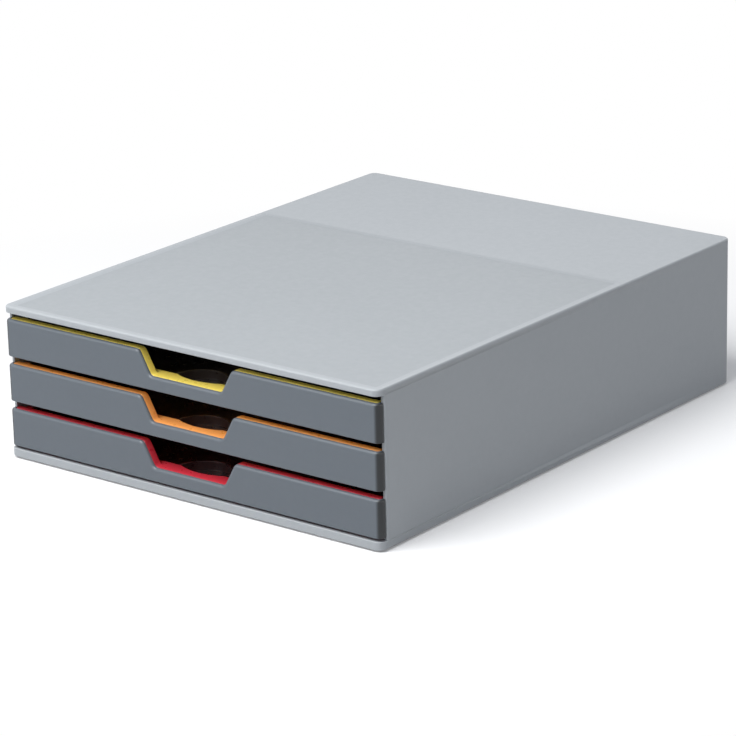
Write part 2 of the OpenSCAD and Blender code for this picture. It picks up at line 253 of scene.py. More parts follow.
sameSpot = 1e-6  # metres: points nearer than this are one
hairCrack = 4e-6  # metres: a crack this wide is welded shut
onPlane = 1e-7  # metres: a point this near a dividing plane lies on it
flatFold = math.radians(0.3)  # faces that meet flatter than this are one
sharpFold = math.radians(30)  # edges that bend more than this can be softened
smoothFold = math.radians(50)  # edges that bend less than this are shaded smooth
largeFaceLead = 80  # over 50, large faces lead the shading of the soft edges beside them


def filletOutline(corners, radii, degrees=6):
    outline = []
    count = len(corners)
    for i, corner in enumerate(corners):
        corner = Vector(corner)
        if radii[i] <= 0:
            outline.append(corner)
            continue
        toLast = (Vector(corners[i - 1]) - corner).normalized()
        toNext = (Vector(corners[(i + 1) % count]) - corner).normalized()
        half = toLast.angle(toNext) / 2
        centre = corner + (toLast + toNext).normalized() * radii[i] / math.sin(half)
        start = corner + toLast * radii[i] / math.tan(half) - centre
        stop = corner + toNext * radii[i] / math.tan(half) - centre
        begin = math.atan2(start.y, start.x)
        sweep = math.atan2(start.x * stop.y - start.y * stop.x, start.dot(stop))
        steps = max(2, round(abs(math.degrees(sweep)) / degrees))
        for k in range(steps + 1):
            angle = begin + sweep * k / steps
            outline.append(centre + radii[i] * Vector((math.cos(angle), math.sin(angle))))
    return outline


def insetCorners(corners, depth):  # moves each side of a counter-clockwise outline inwards
    moved = []
    count = len(corners)
    for i, corner in enumerate(corners):
        corner = Vector(corner)
        came = (corner - Vector(corners[i - 1])).normalized()
        goes = (Vector(corners[(i + 1) % count]) - corner).normalized()
        first = Vector((-came.y, came.x))
        second = Vector((-goes.y, goes.x))
        moved.append(corner + (first + second) * depth / (1 + first.dot(second)))
    return moved


def arc(centre, radius, fromDegrees, toDegrees, degrees=6):
    steps = max(2, round(abs(toDegrees - fromDegrees) / degrees))
    points = []
    for k in range(steps + 1):
        a = math.radians(fromDegrees + (toDegrees - fromDegrees) * k / steps)
        points.append(Vector((centre[0] + radius * math.cos(a), centre[1] + radius * math.sin(a))))
    return points


def rectangle(x0, y0, x1, y1):
    return [(x0, y0), (x1, y0), (x1, y1), (x0, y1)]


def newObject(name, bm):
    mesh = bpy.data.meshes.new(name)
    bm.to_mesh(mesh)
    bm.free()
    made = bpy.data.objects.new(name, mesh)
    bpy.context.scene.collection.objects.link(made)
    return made


def solid(name, outline, low, high, axis="z"):
    place = {
        "x": lambda u, v, h: (h, u, v),
        "y": lambda u, v, h: (u, h, v),
        "z": lambda u, v, h: (u, v, h),
    }[axis]
    bm = bmesh.new()
    near = [bm.verts.new(Vector(place(u, v, low)) * unit) for u, v in outline]
    far = [bm.verts.new(Vector(place(u, v, high)) * unit) for u, v in outline]
    bm.faces.new(near)
    bm.faces.new(far)
    for i in range(len(outline)):
        j = (i + 1) % len(outline)
        bm.faces.new((near[i], near[j], far[j], far[i]))
    bmesh.ops.recalc_face_normals(bm, faces=bm.faces[:])
    return newObject(name, bm)


def brick(name, low, high):
    return solid(name, rectangle(*low[:2], *high[:2]), low[2], high[2])


def disc(name, centre, radius, low, high):
    return solid(name, arc(centre, radius, 0, 360)[:-1], low, high)


def copyOf(made, name, change):
    other = bpy.data.objects.new(name, made.data.copy())
    bpy.context.scene.collection.objects.link(other)
    other.data.transform(change)
    return other


def bake(made):  # turns what the modifiers make into the object's own mesh
    graph = bpy.context.evaluated_depsgraph_get()
    ready = made.evaluated_get(graph)
    mesh = bpy.data.meshes.new_from_object(ready, preserve_all_data_layers=True, depsgraph=graph)
    made.modifiers.clear()
    made.data = mesh
    return made


def combine(made, tools, operation):
    for tool in tools:
        step = made.modifiers.new("combine", "BOOLEAN")
        step.operation = operation
        step.solver = "EXACT"
        step.object = tool
    bake(made)
    for tool in tools:
        bpy.data.objects.remove(tool)
    return made


def cut(made, *tools):
    return combine(made, tools, "DIFFERENCE")


def fuse(made, *tools):
    return combine(made, tools, "UNION")


def overlap(made, tool):
    return combine(made, [tool], "INTERSECT")


def soften(made, width, segments, rule=None, splitY=None):
    bm = bmesh.new()
    bm.from_mesh(made.data)
    bmesh.ops.remove_doubles(bm, verts=bm.verts[:], dist=sameSpot)
    bmesh.ops.dissolve_limit(bm, angle_limit=flatFold, verts=bm.verts[:], edges=bm.edges[:])
    if splitY is not None:  # so that a soft edge can end there
        bmesh.ops.bisect_plane(bm, geom=bm.verts[:] + bm.edges[:] + bm.faces[:], dist=onPlane,
                               plane_co=(0, splitY * unit, 0), plane_no=(0, 1, 0))
    layers = bm.edges.layers.float
    weight = layers.get("bevel_weight_edge") or layers.new("bevel_weight_edge")
    for edge in bm.edges:
        bent = len(edge.link_faces) == 2 and edge.calc_face_angle() > sharpFold
        ends = [v.co / unit for v in edge.verts]
        edge[weight] = float(bent and (rule(*ends) if rule else 1))
    bm.to_mesh(made.data)
    bm.free()
    while len(made.data.materials) < 2:  # the second slot marks the soft edges
        made.data.materials.append(None)
    bevel = made.modifiers.new("soften", "BEVEL")
    bevel.limit_method = "WEIGHT"
    bevel.width = width * unit
    bevel.segments = segments
    bevel.use_clamp_overlap = False
    bevel.material = 1
    bake(made)
    weights = made.data.attributes.get("bevel_weight_edge")
    if weights:
        made.data.attributes.remove(weights)
    bm = bmesh.new()
    bm.from_mesh(made.data)
    bmesh.ops.remove_doubles(bm, verts=bm.verts[:], dist=hairCrack)
    loose = [edge for edge in bm.edges if not edge.link_faces]
    bmesh.ops.delete(bm, geom=loose, context="EDGES")
    bm.to_mesh(made.data)
    bm.free()
    return made


def join(made, *others):
    bm = bmesh.new()
    for part in (made, *others):
        bm.from_mesh(part.data)
    bm.to_mesh(made.data)
    bm.free()
    for part in others:
        bpy.data.objects.remove(part)
    return made


def dress(made, material, second=None, secondFaces=None, paintedShade=None):
    bm = bmesh.new()
    bm.from_mesh(made.data)
    for edge in bm.edges:
        edge.smooth = len(edge.link_faces) != 2 or edge.calc_face_angle() < smoothFold
    bm.to_mesh(made.data)
    bm.free()
    mesh = made.data
    rounded = [face.material_index == 1 for face in mesh.polygons]
    mesh.materials.clear()
    mesh.materials.append(material)
    if second:
        mesh.materials.append(second)
    for label in ("softEdge", "paintedShadeFace"):
        mesh.attributes.new(label, "FLOAT", "CORNER")
    marks, paintedShades = mesh.attributes["softEdge"].data, mesh.attributes["paintedShadeFace"].data
    for face in mesh.polygons:
        middle = face.center / unit
        # painted shade for this face, from the rule that is given
        shade = paintedShade(middle, face.normal) if paintedShade else 0
        face.use_smooth = True
        for corner in face.loop_indices:
            marks[corner].value = rounded[face.index]
            paintedShades[corner].value = shade
        face.material_index = 1 if secondFaces and secondFaces(middle, face.normal) else 0
    even = made.modifiers.new("even", "WEIGHTED_NORMAL")
    even.weight = largeFaceLead
    even.keep_sharp = True
    return bake(made)


def seat(made, node, body):
    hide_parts(node)
    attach(made, body)
    print(made.name, len(made.data.polygons), "faces")


# Repeats: one shape set along a line, and a lattice of ribs


def newTree(name, inputs):
    tree = bpy.data.node_groups.new(name, "GeometryNodeTree")
    tree.interface.new_socket("Geometry", in_out="INPUT", socket_type="NodeSocketGeometry")
    for label, kind in inputs:
        tree.interface.new_socket(label, in_out="INPUT", socket_type="NodeSocket" + kind)
    tree.interface.new_socket("Geometry", in_out="OUTPUT", socket_type="NodeSocketGeometry")
    return tree, tree.nodes.new("NodeGroupInput"), tree.nodes.new("NodeGroupOutput")


def finishTree(tree, source, end, last):
    real = tree.nodes.new("GeometryNodeRealizeInstances")
    paint = tree.nodes.new("GeometryNodeSetMaterial")
    tree.links.new(last, real.inputs["Geometry"])
    tree.links.new(real.outputs["Geometry"], paint.inputs["Geometry"])
    tree.links.new(source.outputs["Finish"], paint.inputs["Material"])
    tree.links.new(paint.outputs["Geometry"], end.inputs["Geometry"])
    return tree


def lineTree():
    tree, source, end = newTree("setAlongLine", [
        ("Copies", "Int"), ("Step", "Vector"), ("Finish", "Material"),
    ])
    line = tree.nodes.new("GeometryNodeMeshLine")
    place = tree.nodes.new("GeometryNodeInstanceOnPoints")
    tree.links.new(source.outputs["Copies"], line.inputs["Count"])
    tree.links.new(source.outputs["Step"], line.inputs["Offset"])
    tree.links.new(line.outputs["Mesh"], place.inputs["Points"])
    tree.links.new(source.outputs["Geometry"], place.inputs["Instance"])
    return finishTree(tree, source, end, place.outputs["Instances"])


def latticeTree():
    tree, source, end = newTree("ribLattice", [
        ("Low", "Vector"), ("Bar Along Y", "Vector"), ("Bar Along X", "Vector"),
        ("Bars Across", "Int"), ("Bars Deep", "Int"),
        ("Step Across", "Vector"), ("Step Deep", "Vector"), ("Finish", "Material"),
    ])
    both = tree.nodes.new("GeometryNodeJoinGeometry")
    for size, count, step in (("Bar Along Y", "Bars Across", "Step Across"),
                              ("Bar Along X", "Bars Deep", "Step Deep")):
        bar = tree.nodes.new("GeometryNodeMeshCube")
        half = addNode(tree, "ShaderNodeVectorMath", operation="SCALE")
        half.inputs["Scale"].default_value = 0.5
        start = addNode(tree, "ShaderNodeVectorMath", operation="ADD")
        first = addNode(tree, "ShaderNodeVectorMath", operation="ADD")
        line = tree.nodes.new("GeometryNodeMeshLine")
        place = tree.nodes.new("GeometryNodeInstanceOnPoints")
        tree.links.new(source.outputs[size], bar.inputs["Size"])
        tree.links.new(source.outputs[size], half.inputs[0])
        tree.links.new(half.outputs[0], start.inputs[0])
        tree.links.new(source.outputs["Low"], start.inputs[1])
        tree.links.new(start.outputs[0], first.inputs[0])
        tree.links.new(source.outputs[step], first.inputs[1])
        tree.links.new(source.outputs[count], line.inputs["Count"])
        tree.links.new(first.outputs[0], line.inputs["Start Location"])
        tree.links.new(source.outputs[step], line.inputs["Offset"])
        tree.links.new(line.outputs["Mesh"], place.inputs["Points"])
        tree.links.new(bar.outputs["Mesh"], place.inputs["Instance"])
        tree.links.new(place.outputs["Instances"], both.inputs["Geometry"])
    return finishTree(tree, source, end, both.outputs["Geometry"])


def runTree(made, tree, values):
    run = made.modifiers.new(tree.name, "NODES")
    run.node_group = tree
    for item in tree.interface.items_tree:
        if item.in_out == "INPUT" and item.name in values:
            run[item.identifier] = values[item.name]
    return bake(made)


setAlongLine = lineTree()
ribLattice = latticeTree()


def ribs(name, low, high, cells, thickness):
    span = [high[i] - low[i] for i in range(2)]
    height = high[2] - low[2]
    pitch = [(span[i] + thickness) / cells[i] for i in range(2)]
    sizes = {
        "Low": (low[0] - thickness, low[1] - thickness, low[2]),
        "Bar Along Y": (thickness, span[1] + 2 * thickness, height),
        "Bar Along X": (span[0] + 2 * thickness, thickness, height),
        "Step Across": (pitch[0], 0, 0),
        "Step Deep": (0, pitch[1], 0),
    }
    values = {label: tuple(c * unit for c in size) for label, size in sizes.items()}
    values.update({"Bars Across": cells[0] - 1, "Bars Deep": cells[1] - 1, "Finish": housingGrey})
    return runTree(newObject(name, bmesh.new()), ribLattice, values)


print("tools ready")

# Top cover: a rounded slab with a recessed field in front, ribbed underneath

cover = {
    "cornerRadius": 5,
    "edgeRadius": 1.2,
    "edgeSteps": 6,
    "rim": 4.5,
    "drop": 0.8,
    "rearField": 117,
    "slope": 1.6,
    "skin": 2,
    "border": 8,
    "rib": 1.6,
    "cells": (4, 5),
    "soft": 0.35,
    "softSteps": 3,
    "panelFront": -172.5,
    "levelFace": 0.99,  # a face whose normal rises more than this lies flat
}


def sunkField(name, low, high, drop, slope):  # a cutting shape whose walls lean outwards
    bm = bmesh.new()
    rings = []
    for grow, z in ((0, high[2] - drop), (slope, high[2]), (slope, high[2] + past)):
        rings.append([bm.verts.new(Vector((x, y, z)) * unit) for x, y in
                      rectangle(low[0] - grow, low[1] - grow, high[0] + grow, high[1] + grow)])
    for ring, above in zip(rings, rings[1:]):
        for i in range(4):
            bm.faces.new((ring[i], ring[i - 3], above[i - 3], above[i]))
    bm.faces.new(rings[0])
    bm.faces.new(rings[-1])
    bmesh.ops.recalc_face_normals(bm, faces=bm.faces[:])
    return newObject(name, bm)


def slab(name, low, high, look, roundedHeight):
    outline = filletOutline(rectangle(*low[:2], *high[:2]), [look["cornerRadius"]] * 4)
    made = solid(name, outline, low[2], high[2])

    def rule(a, b):
        return max(abs(a.z - roundedHeight), abs(b.z - roundedHeight)) < close

    return soften(made, look["edgeRadius"], look["edgeSteps"], rule)


def makeCover(look):
    low, high = nodeBox("top_cover")
    made = slab("topCoverShell", low, high, look, high[2])
    rim, slope = look["rim"], look["slope"]
    fieldLow = low[0] + rim + slope, low[1] + rim + slope
    fieldHigh = high[0] - rim - slope, high[1] - look["rearField"] - slope, high[2]
    field = sunkField("field", fieldLow, fieldHigh, look["drop"], slope)
    inside = [c + look["border"] for c in low[:2]], [c - look["border"] for c in high[:2]]
    sunk = high[2] - look["drop"]
    roof = sunk - look["skin"]
    cut(made, field, brick("hollow", (*inside[0], low[2] - past), (*inside[1], roof)))

    def rule(a, b):  # the lower edge stays sharp where the cover lies on the panels
        outside = (min(abs(a.x), abs(b.x)) > inside[1][0] + slack
                   or min(a.y, b.y) > inside[1][1] + slack)
        onPanels = outside and min(a.y, b.y) > look["panelFront"] - slack
        return not (onPanels and max(a.z, b.z) < low[2] + close)

    soften(made, look["soft"], look["softSteps"], rule, splitY=look["panelFront"])
    join(made, ribs("coverRibs", (*inside[0], low[2]), (*inside[1], roof + bite),
                    look["cells"], look["rib"]))
    dress(made, housingGrey, recessGrey,
          lambda c, n: n.z > look["levelFace"] and abs(c.z - sunk) < close)
    seat(made, "top_cover", "housing")


makeCover(cover)

# Base: a tray-like plate with a rounded lower edge, foot sockets and ribs underneath

base = {
    "cornerRadius": 5,
    "edgeRadius": 1.2,
    "edgeSteps": 6,
    "skin": 2,
    "border": 8,
    "rib": 1.6,
    "cells": (4, 5),
    "socketRadius": 8.1,
    "bossRadius": 10.1,
    "socketTop": 2.3,
    "footInset": 26,
    "soft": 0.35,
    "softSteps": 3,
    "panelFront": -172.5,
}


def makeBase(look):
    low, high = nodeBox("base_plate")
    made = slab("basePlateShell", low, high, look, low[2])
    inside = [c + look["border"] for c in low[:2]], [c - look["border"] for c in high[:2]]
    floor = high[2] - look["skin"]
    cut(made, brick("hollow", (*inside[0], low[2] - past), (*inside[1], floor)))
    join(made, ribs("baseRibs", (*inside[0], low[2]), (*inside[1], floor + bite),
                    look["cells"], look["rib"]))
    inset = look["footInset"]
    places = [(x, y) for x in (low[0] + inset, high[0] - inset)
              for y in (low[1] + inset, high[1] - inset)]
    fuse(made, *[disc("boss", p, look["bossRadius"], low[2], floor + root) for p in places])
    cut(made, *[disc("socket", p, look["socketRadius"], low[2] - past, look["socketTop"])
                for p in places])

    def rule(a, b):  # the upper edge stays sharp where the panels stand on it
        return not (min(a.z, b.z) > high[2] - close
                    and min(a.y, b.y) > look["panelFront"] - slack)

    soften(made, look["soft"], look["softSteps"], rule, splitY=look["panelFront"])
    dress(made, housingGrey)
    seat(made, "base_plate", "housing")


makeBase(base)

# Side panels: a wall that turns round the back corner, with a runner and a guide for each drawer

side = {
    "wall": 2.2,
    "cornerRadius": 5,
    "frontRadius": 1,
    "innerRadius": 0.2,
    "returnWidth": 12,
    "runner": 1.8,
    "runnerFront": -166,
    "runnerBack": 174,
    "runnerInner": 134.6,
    "runnerTop": 18.8,  # above the lower edge of the drawer's front
    "guideUnder": 23.6,
    "lugUnder": 21.5,
    "lugStart": -164.2,
    "lugLength": 6,
    "soft": 0.3,
    "softSteps": 2,
}


def makeSidePanels(look):
    low, high = nodeBox("right_side_panel")
    inner = high[0] - look["wall"]
    innerBack = high[1] - look["wall"]
    turn = high[0] - look["returnWidth"]
    corners = [(inner, low[1]), (high[0], low[1]), (high[0], high[1]), (turn, high[1]),
               (turn, innerBack), (inner, innerBack)]
    radii = [look["innerRadius"], look["frontRadius"], look["cornerRadius"], 0, 0,
             look["cornerRadius"] - look["wall"]]
    bottom = nodeBox("base_plate")[1][2]
    top = nodeBox("top_cover")[0][2]
    made = solid("rightSideWall", filletOutline(corners, radii), bottom, top)
    soften(made, look["soft"], look["softSteps"], lambda a, b: abs(a.z - b.z) > close)

    levels = [nodeBox(n)[0][2] for n in ("lower_fascia", "middle_fascia", "upper_fascia")]
    front, back, thick = look["runnerFront"], look["runnerBack"], look["runner"]
    topZ, guideZ = levels[0] + look["runnerTop"], levels[0] + look["guideUnder"]
    runner = solid("runner", [
        (front, topZ - thick), (back, topZ - thick), (back, topZ), (front + 2 * thick, topZ),
        (front, topZ - thick / 2),
    ], look["runnerInner"], inner + bite, "x")
    guide = solid("guide", [
        (front, guideZ + thick / 2), (front + 2 * thick, guideZ), (back, guideZ),
        (back, guideZ + thick), (front, guideZ + thick),
    ], look["runnerInner"], inner + bite, "x")
    lug = brick("lug", (look["runnerInner"], look["lugStart"], levels[0] + look["lugUnder"]),
                (inner + bite, look["lugStart"] + look["lugLength"], guideZ + thick))
    fuse(guide, lug)
    join(runner, guide)
    soften(runner, look["soft"], look["softSteps"])
    for face in runner.data.polygons:  # no wear or painted highlight on the soft edges inside the housing
        face.material_index = 0
    step = (0, 0, (levels[1] - levels[0]) * unit)
    runTree(runner, setAlongLine, {"Copies": len(levels), "Step": step, "Finish": housingGrey})
    join(made, runner)

    other = copyOf(made, "leftSideWall", Matrix.Scale(-1, 4, Vector((1, 0, 0))))
    other.data.flip_normals()
    for panel, node in ((made, "right_side_panel"), (other, "left_side_panel")):
        dress(panel, housingGrey)
        seat(panel, node, "housing")


makeSidePanels(side)

# Back panel: a plate between the side panels' returns, with laps on their inner side

backPlate = {
    "returnWidth": 12,
    "play": 0.1,
    "lap": 1.6,
    "lapWidth": 7,
    "lapStart": 8.9,
    "lapStop": 88.1,
    "rootInset": 0.4,
    "wall": 2.2,
    "soft": 0.3,
    "softSteps": 3,
}


def makeBack(look):
    low, high = nodeBox("back_panel")
    bottom = nodeBox("base_plate")[1][2]
    top = nodeBox("top_cover")[0][2]
    edge = nodeBox("right_side_panel")[1][0] - look["returnWidth"]
    wallY = high[1] - look["wall"]
    half = edge - look["play"]
    made = brick("backWall", (-half, wallY, bottom), (half, high[1], top))
    laps = []
    for way in (-1, 1):
        tip = way * (edge - look["lapWidth"])
        near, far = sorted((tip, way * (edge + look["lapWidth"])))
        laps.append(brick("lap", (near, low[1], look["lapStart"]),
                          (far, low[1] + look["lap"], look["lapStop"])))
        near, far = sorted((tip, way * half))
        laps.append(brick("lapRoot", (near, low[1], bottom + look["rootInset"]),
                          (far, wallY + root, top - look["rootInset"])))
    fuse(made, *laps)
    soften(made, look["soft"], look["softSteps"])
    dress(made, housingGrey)
    seat(made, "back_panel", "housing")


makeBack(backPlate)
print("housing ready")

# Drawer fronts: a thin dark plate with the grip cut out, its ends turned back, and four clips

grip = {
    "topWidth": 69.6,
    "floorWidth": 53.2,
    "height": 14.8,
    "radius": 3.6,
}

front = {
    "height": 23,
    "thickness": 2.4,
    "cornerRadius": 4,
    "backGap": 0.3,
    "topEdge": 1.7,
    "edgeSteps": 6,
    "edge": 0.6,
    "innerEdge": 0.3,
    "clipWidth": 8,
    "clipThickness": 1.6,
    "clipStart": 52.8,
    "clipStep": 59.2,
    "clipHeight": 11.16,
    "clipTip": -172.3,
    "clipNose": 1.2,
    "clipBarb": -173.1,
    "clipCatch": 0.6,
    "endsFrom": 100,
    "turnStart": 0.1,
    "turnSpan": 0.4,
}

gripFloor = front["height"] - grip["height"]  # the top of the tray's ledge too

drawers = [
    ("lower", "red_tray", "lower_fascia", trayRed, "tray_red"),
    ("middle", "orange_tray", "middle_fascia", trayOrange, "tray_orange"),
    ("upper", "yellow_tray", "upper_fascia", trayYellow, "tray_yellow"),
]


def gripCorners(halfWidth, low):
    top, topHalf, floorHalf = front["height"], grip["topWidth"] / 2, grip["floorWidth"] / 2
    return [(-halfWidth, low), (halfWidth, low), (halfWidth, top), (topHalf, top),
            (floorHalf, gripFloor), (-floorHalf, gripFloor), (-topHalf, top), (-halfWidth, top)]


def gripOutline(halfWidth, low):
    r = grip["radius"]
    return filletOutline(gripCorners(halfWidth, low), [0, 0, 0, r, r, r, r, 0], degrees=7)


def makeFascia(look):
    low, high = nodeBox("lower_fascia")
    width, faceY = high[0], low[1]
    backY = round(nodeBox("right_side_panel")[0][1] - look["backGap"], 2)
    inner = width - look["thickness"]
    seatY = faceY + look["thickness"]
    r, innerR = look["cornerRadius"], look["cornerRadius"] - look["thickness"]
    corners = [(-width, faceY), (width, faceY), (width, backY), (inner, backY),
               (inner, seatY), (-inner, seatY), (-inner, backY), (-width, backY)]
    plan = filletOutline(corners, [r, r, 0, 0, innerR, innerR, 0, 0])
    made = solid("fascia", plan, -past, look["height"] + past)
    face = gripOutline(width + past, 0)
    overlap(made, solid("gripFace", face, faceY - past, backY + past, "y"))

    def rule(a, b):  # the widest rounding runs along the top and round the grip
        across = [max(abs(p.x) - (width - r), 0) for p in (a, b)]
        deep = [max(faceY + r - p.y, 0) for p in (a, b)]
        outside = min(math.hypot(*p) for p in zip(across, deep)) > r - slack
        if not outside:
            return look["innerEdge"] / look["topEdge"]
        return 1 if min(a.z, b.z) > close else look["edge"] / look["topEdge"]

    soften(made, look["topEdge"], look["edgeSteps"], rule)
    clipLow = look["clipHeight"] - look["clipThickness"] / 2
    clipHigh = look["clipHeight"] + look["clipThickness"] / 2
    profile = [(seatY - root, clipLow), (look["clipTip"], clipLow),
               (look["clipTip"], clipLow + look["clipNose"]),
               (look["clipBarb"], clipHigh + look["clipCatch"]), (look["clipBarb"], clipHigh),
               (seatY - root, clipHigh)]
    for way in (-1, 1):
        first = way * look["clipStart"]
        half = look["clipWidth"] / 2
        clip = solid("clip", profile, first - half, first + half, "x")
        step = (way * look["clipStep"] * unit, 0, 0)
        runTree(clip, setAlongLine, {"Copies": 2, "Step": step, "Finish": fasciaGrey})
        join(made, clip)
    return made


def paintedEndShade(c, n):  # painted shade: the ends of a front are darkened as they turn back into the gap
    share = (abs(n.x) - front["turnStart"]) / front["turnSpan"]
    return min(max(share, 0), 1) if abs(c.x) > front["endsFrom"] else 0


# Trays: a hollow front beam with the grip, a ledge, a finger pocket, the tub, rims and stop tabs

tray = {
    "wall": 1.8,
    "floor": 1.8,
    "lift": 0.6,
    "beamRadius": 1.7,
    "frontY": -175.0,
    "bandY": -170.2,
    "ledgeY": -164.4,
    "ledgeHalf": 35.6,
    "notchWidth": 33,
    "notchDepth": 3.7,
    "pocketRadius": 16.5,
    "pocketWall": 1.6,
    "tubHalf": 134.0,
    "tubRadius": 6,
    "rimTop": 21,
    "rim": 1.8,
    "rimHalf": 137.0,
    "tabStart": 91.9,
    "tabLength": 6,
    "tabTop": 23.1,
    "root": 0.3,
    "soft": 0.3,
    "softSteps": 2,
    "insideEdge": 0.2,  # how far the painted shade of the inside runs on past the inner walls
    "ringPaintedShade": 0.97,  # share of that painted shade on the rounded top of the pocket's wall
}


def pocketOutline(look, grow):  # the pocket's edge, or the outside of its wall
    chord, sag, ledge = look["notchWidth"] / 2, look["notchDepth"], look["ledgeY"]
    notchRadius = (chord ** 2 + sag ** 2) / (2 * sag)
    centreY = ledge - sag + notchRadius
    level = ledge - look["pocketWall"] if grow else ledge
    reach = math.sqrt((notchRadius + grow) ** 2 - (centreY - level) ** 2)
    half = math.degrees(math.asin(reach / (notchRadius + grow)))
    notch = arc((0, centreY), notchRadius + grow, 270 - half, 270 + half, degrees=3)
    wall = arc((0, ledge), look["pocketRadius"] + grow, 0, 180, degrees=5)
    if not grow:
        return notch[:-1] + wall[:-1]
    across = look["ledgeHalf"]
    return notch + [(across, level), (across, ledge)] + wall + [(-across, ledge), (-across, level)]


def makeTub(look):
    backY = nodeBox("red_tray")[1][1]
    height, wall, lift = front["height"], look["wall"], look["lift"]
    rim, frontY, bandY = look["rimHalf"], look["frontY"], look["bandY"]
    beam, corner, r = look["beamRadius"], look["tubRadius"], grip["radius"]
    plan = filletOutline(rectangle(-rim, frontY, rim, bandY), [beam, beam, 0, 0])
    made = solid("tray", plan, -past, height + past)
    face = gripOutline(rim + past, lift)
    overlap(made, solid("gripFace", face, frontY - past, bandY + past, "y"))
    hollow = filletOutline(insetCorners(gripCorners(rim, -wall - past), wall),
                           [0, 0, 0, r - wall, r + wall, r + wall, r - wall, 0], degrees=7)
    cut(made, solid("hollow", hollow, frontY + wall, bandY - wall, "y"))

    half, inner = look["tubHalf"], look["tubHalf"] - wall
    plan = filletOutline(rectangle(-half, bandY - wall, half, backY),
                         [0, 0, corner, corner], degrees=7)
    tub = solid("tub", plan, lift, look["rimTop"])
    plan = filletOutline(rectangle(-inner, bandY - wall - past, inner, backY - wall),
                         [0, 0, corner - wall, corner - wall], degrees=7)
    cut(tub, solid("inside", plan, lift + look["floor"], look["rimTop"] + past))

    across = look["ledgeHalf"]
    plan = rectangle(-across, bandY - wall / 2, across, look["ledgeY"] - look["root"])
    ledge = solid("ledge", plan, gripFloor - wall, gripFloor)
    ring = pocketOutline(look, look["pocketWall"])
    pocket = solid("pocket", ring, lift + look["root"], gripFloor)
    bars = []
    for way in (-1, 1):
        near, far = sorted((way * (inner - look["root"]), way * rim))
        bars.append(brick("rim", (near, bandY - wall / 2, look["rimTop"] - look["rim"]),
                          (far, backY - corner, look["rimTop"])))
        near, far = sorted((way * half, way * rim))
        bars.append(brick("tab", (near, look["tabStart"], look["rimTop"] - look["rim"]),
                          (far, look["tabStart"] + look["tabLength"], look["tabTop"])))
    fuse(made, tub, ledge, pocket, *bars)
    cut(made, solid("fingerPocket", pocketOutline(look, 0), lift + look["floor"], height + past))
    return soften(made, look["soft"], look["softSteps"], splitY=look["ledgeY"])


def paintedInsideShade(look, height):  # painted shade on the floor, inner walls and finger pocket of the tray at this height
    floor = look["lift"] + look["floor"] - slack
    inner = look["tubHalf"] - look["wall"] + look["insideEdge"]
    back = nodeBox("red_tray")[1][1] - look["wall"] + look["insideEdge"]

    def shade(c, n):
        z = c.z - height
        if z < floor or abs(c.x) > inner or c.y > back:
            return 0
        if c.y > look["ledgeY"] - slack:
            return look["ringPaintedShade"] if abs(z - gripFloor) < look["soft"] else 1
        underLedge = z < gripFloor - look["soft"]
        besideLedge = abs(c.x) > look["ledgeHalf"] + 2 * slack
        return int(c.y > look["bandY"] - slack and (underLedge or besideLedge))

    return shade


fasciaShape = makeFascia(front)
tubShape = makeTub(tray)
for level, trayNode, fasciaNode, colour, slotName in drawers:
    height = nodeBox(fasciaNode)[0][2]
    raised = Matrix.Translation((0, 0, height * unit))
    tub = copyOf(tubShape, level + "Tray", raised)
    dress(tub, colour, paintedShade=paintedInsideShade(tray, height))
    seat(tub, trayNode, level + "_drawer")
    plate = copyOf(fasciaShape, level + "Front", raised)
    dress(plate, fasciaGrey, paintedShade=paintedEndShade)
    seat(plate, fasciaNode, level + "_drawer")
bpy.data.objects.remove(fasciaShape)
bpy.data.objects.remove(tubShape)
print("drawers ready")

# Feet: rubber discs, a little dished underneath

foot = {
    "radius": 8,
    "edge": 0.4,
    "edgeStep": 15,  # degrees
    "dish": 0.25,
    "dishRadius": 5.6,
    "dishSlope": 0.4,
    "lip": 0.2,
    "lipLow": 0.05,
    "sides": 72,
}


def turned(name, centre, profile, sides):  # turns a profile that starts and ends on the axis
    bm = bmesh.new()
    rings = []
    for radius, z in profile:
        ring = []
        for k in range(sides if radius else 1):
            a = 2 * math.pi * k / sides
            spot = centre[0] + radius * math.cos(a), centre[1] + radius * math.sin(a), z
            ring.append(bm.verts.new(Vector(spot) * unit))
        rings.append(ring)
    for ring, above in zip(rings, rings[1:]):
        for k in range(sides):
            j = (k + 1) % sides
            corners = [ring[k % len(ring)], ring[j % len(ring)],
                       above[j % len(above)], above[k % len(above)]]
            bm.faces.new(dict.fromkeys(corners))  # on the axis two corners are one
    bmesh.ops.recalc_face_normals(bm, faces=bm.faces[:])
    return newObject(name, bm)


def makeFeet(look):
    for node in ("front_left_foot", "front_right_foot", "rear_left_foot", "rear_right_foot"):
        low, high = nodeBox(node)
        centre = ((low[0] + high[0]) / 2, (low[1] + high[1]) / 2)
        r, e, dish = look["radius"], look["edge"], look["dishRadius"]
        angles = [math.radians(a) for a in range(0, 91, look["edgeStep"])]
        profile = [(0, look["dish"]), (dish - look["dishSlope"], look["dish"]),
                   (dish, look["lipLow"]), (dish + look["lip"], 0)]
        profile += [(r - e + e * math.sin(a), e - e * math.cos(a)) for a in angles]
        profile += [(r, high[2]), (0, high[2])]
        words = node.split("_")
        name = words[0] + words[1].capitalize() + "Foot"
        made = turned(name, centre, profile, look["sides"])
        dress(made, footRubber)
        seat(made, node, "housing")


makeFeet(foot)
print("feet ready")

# Floor, light and air

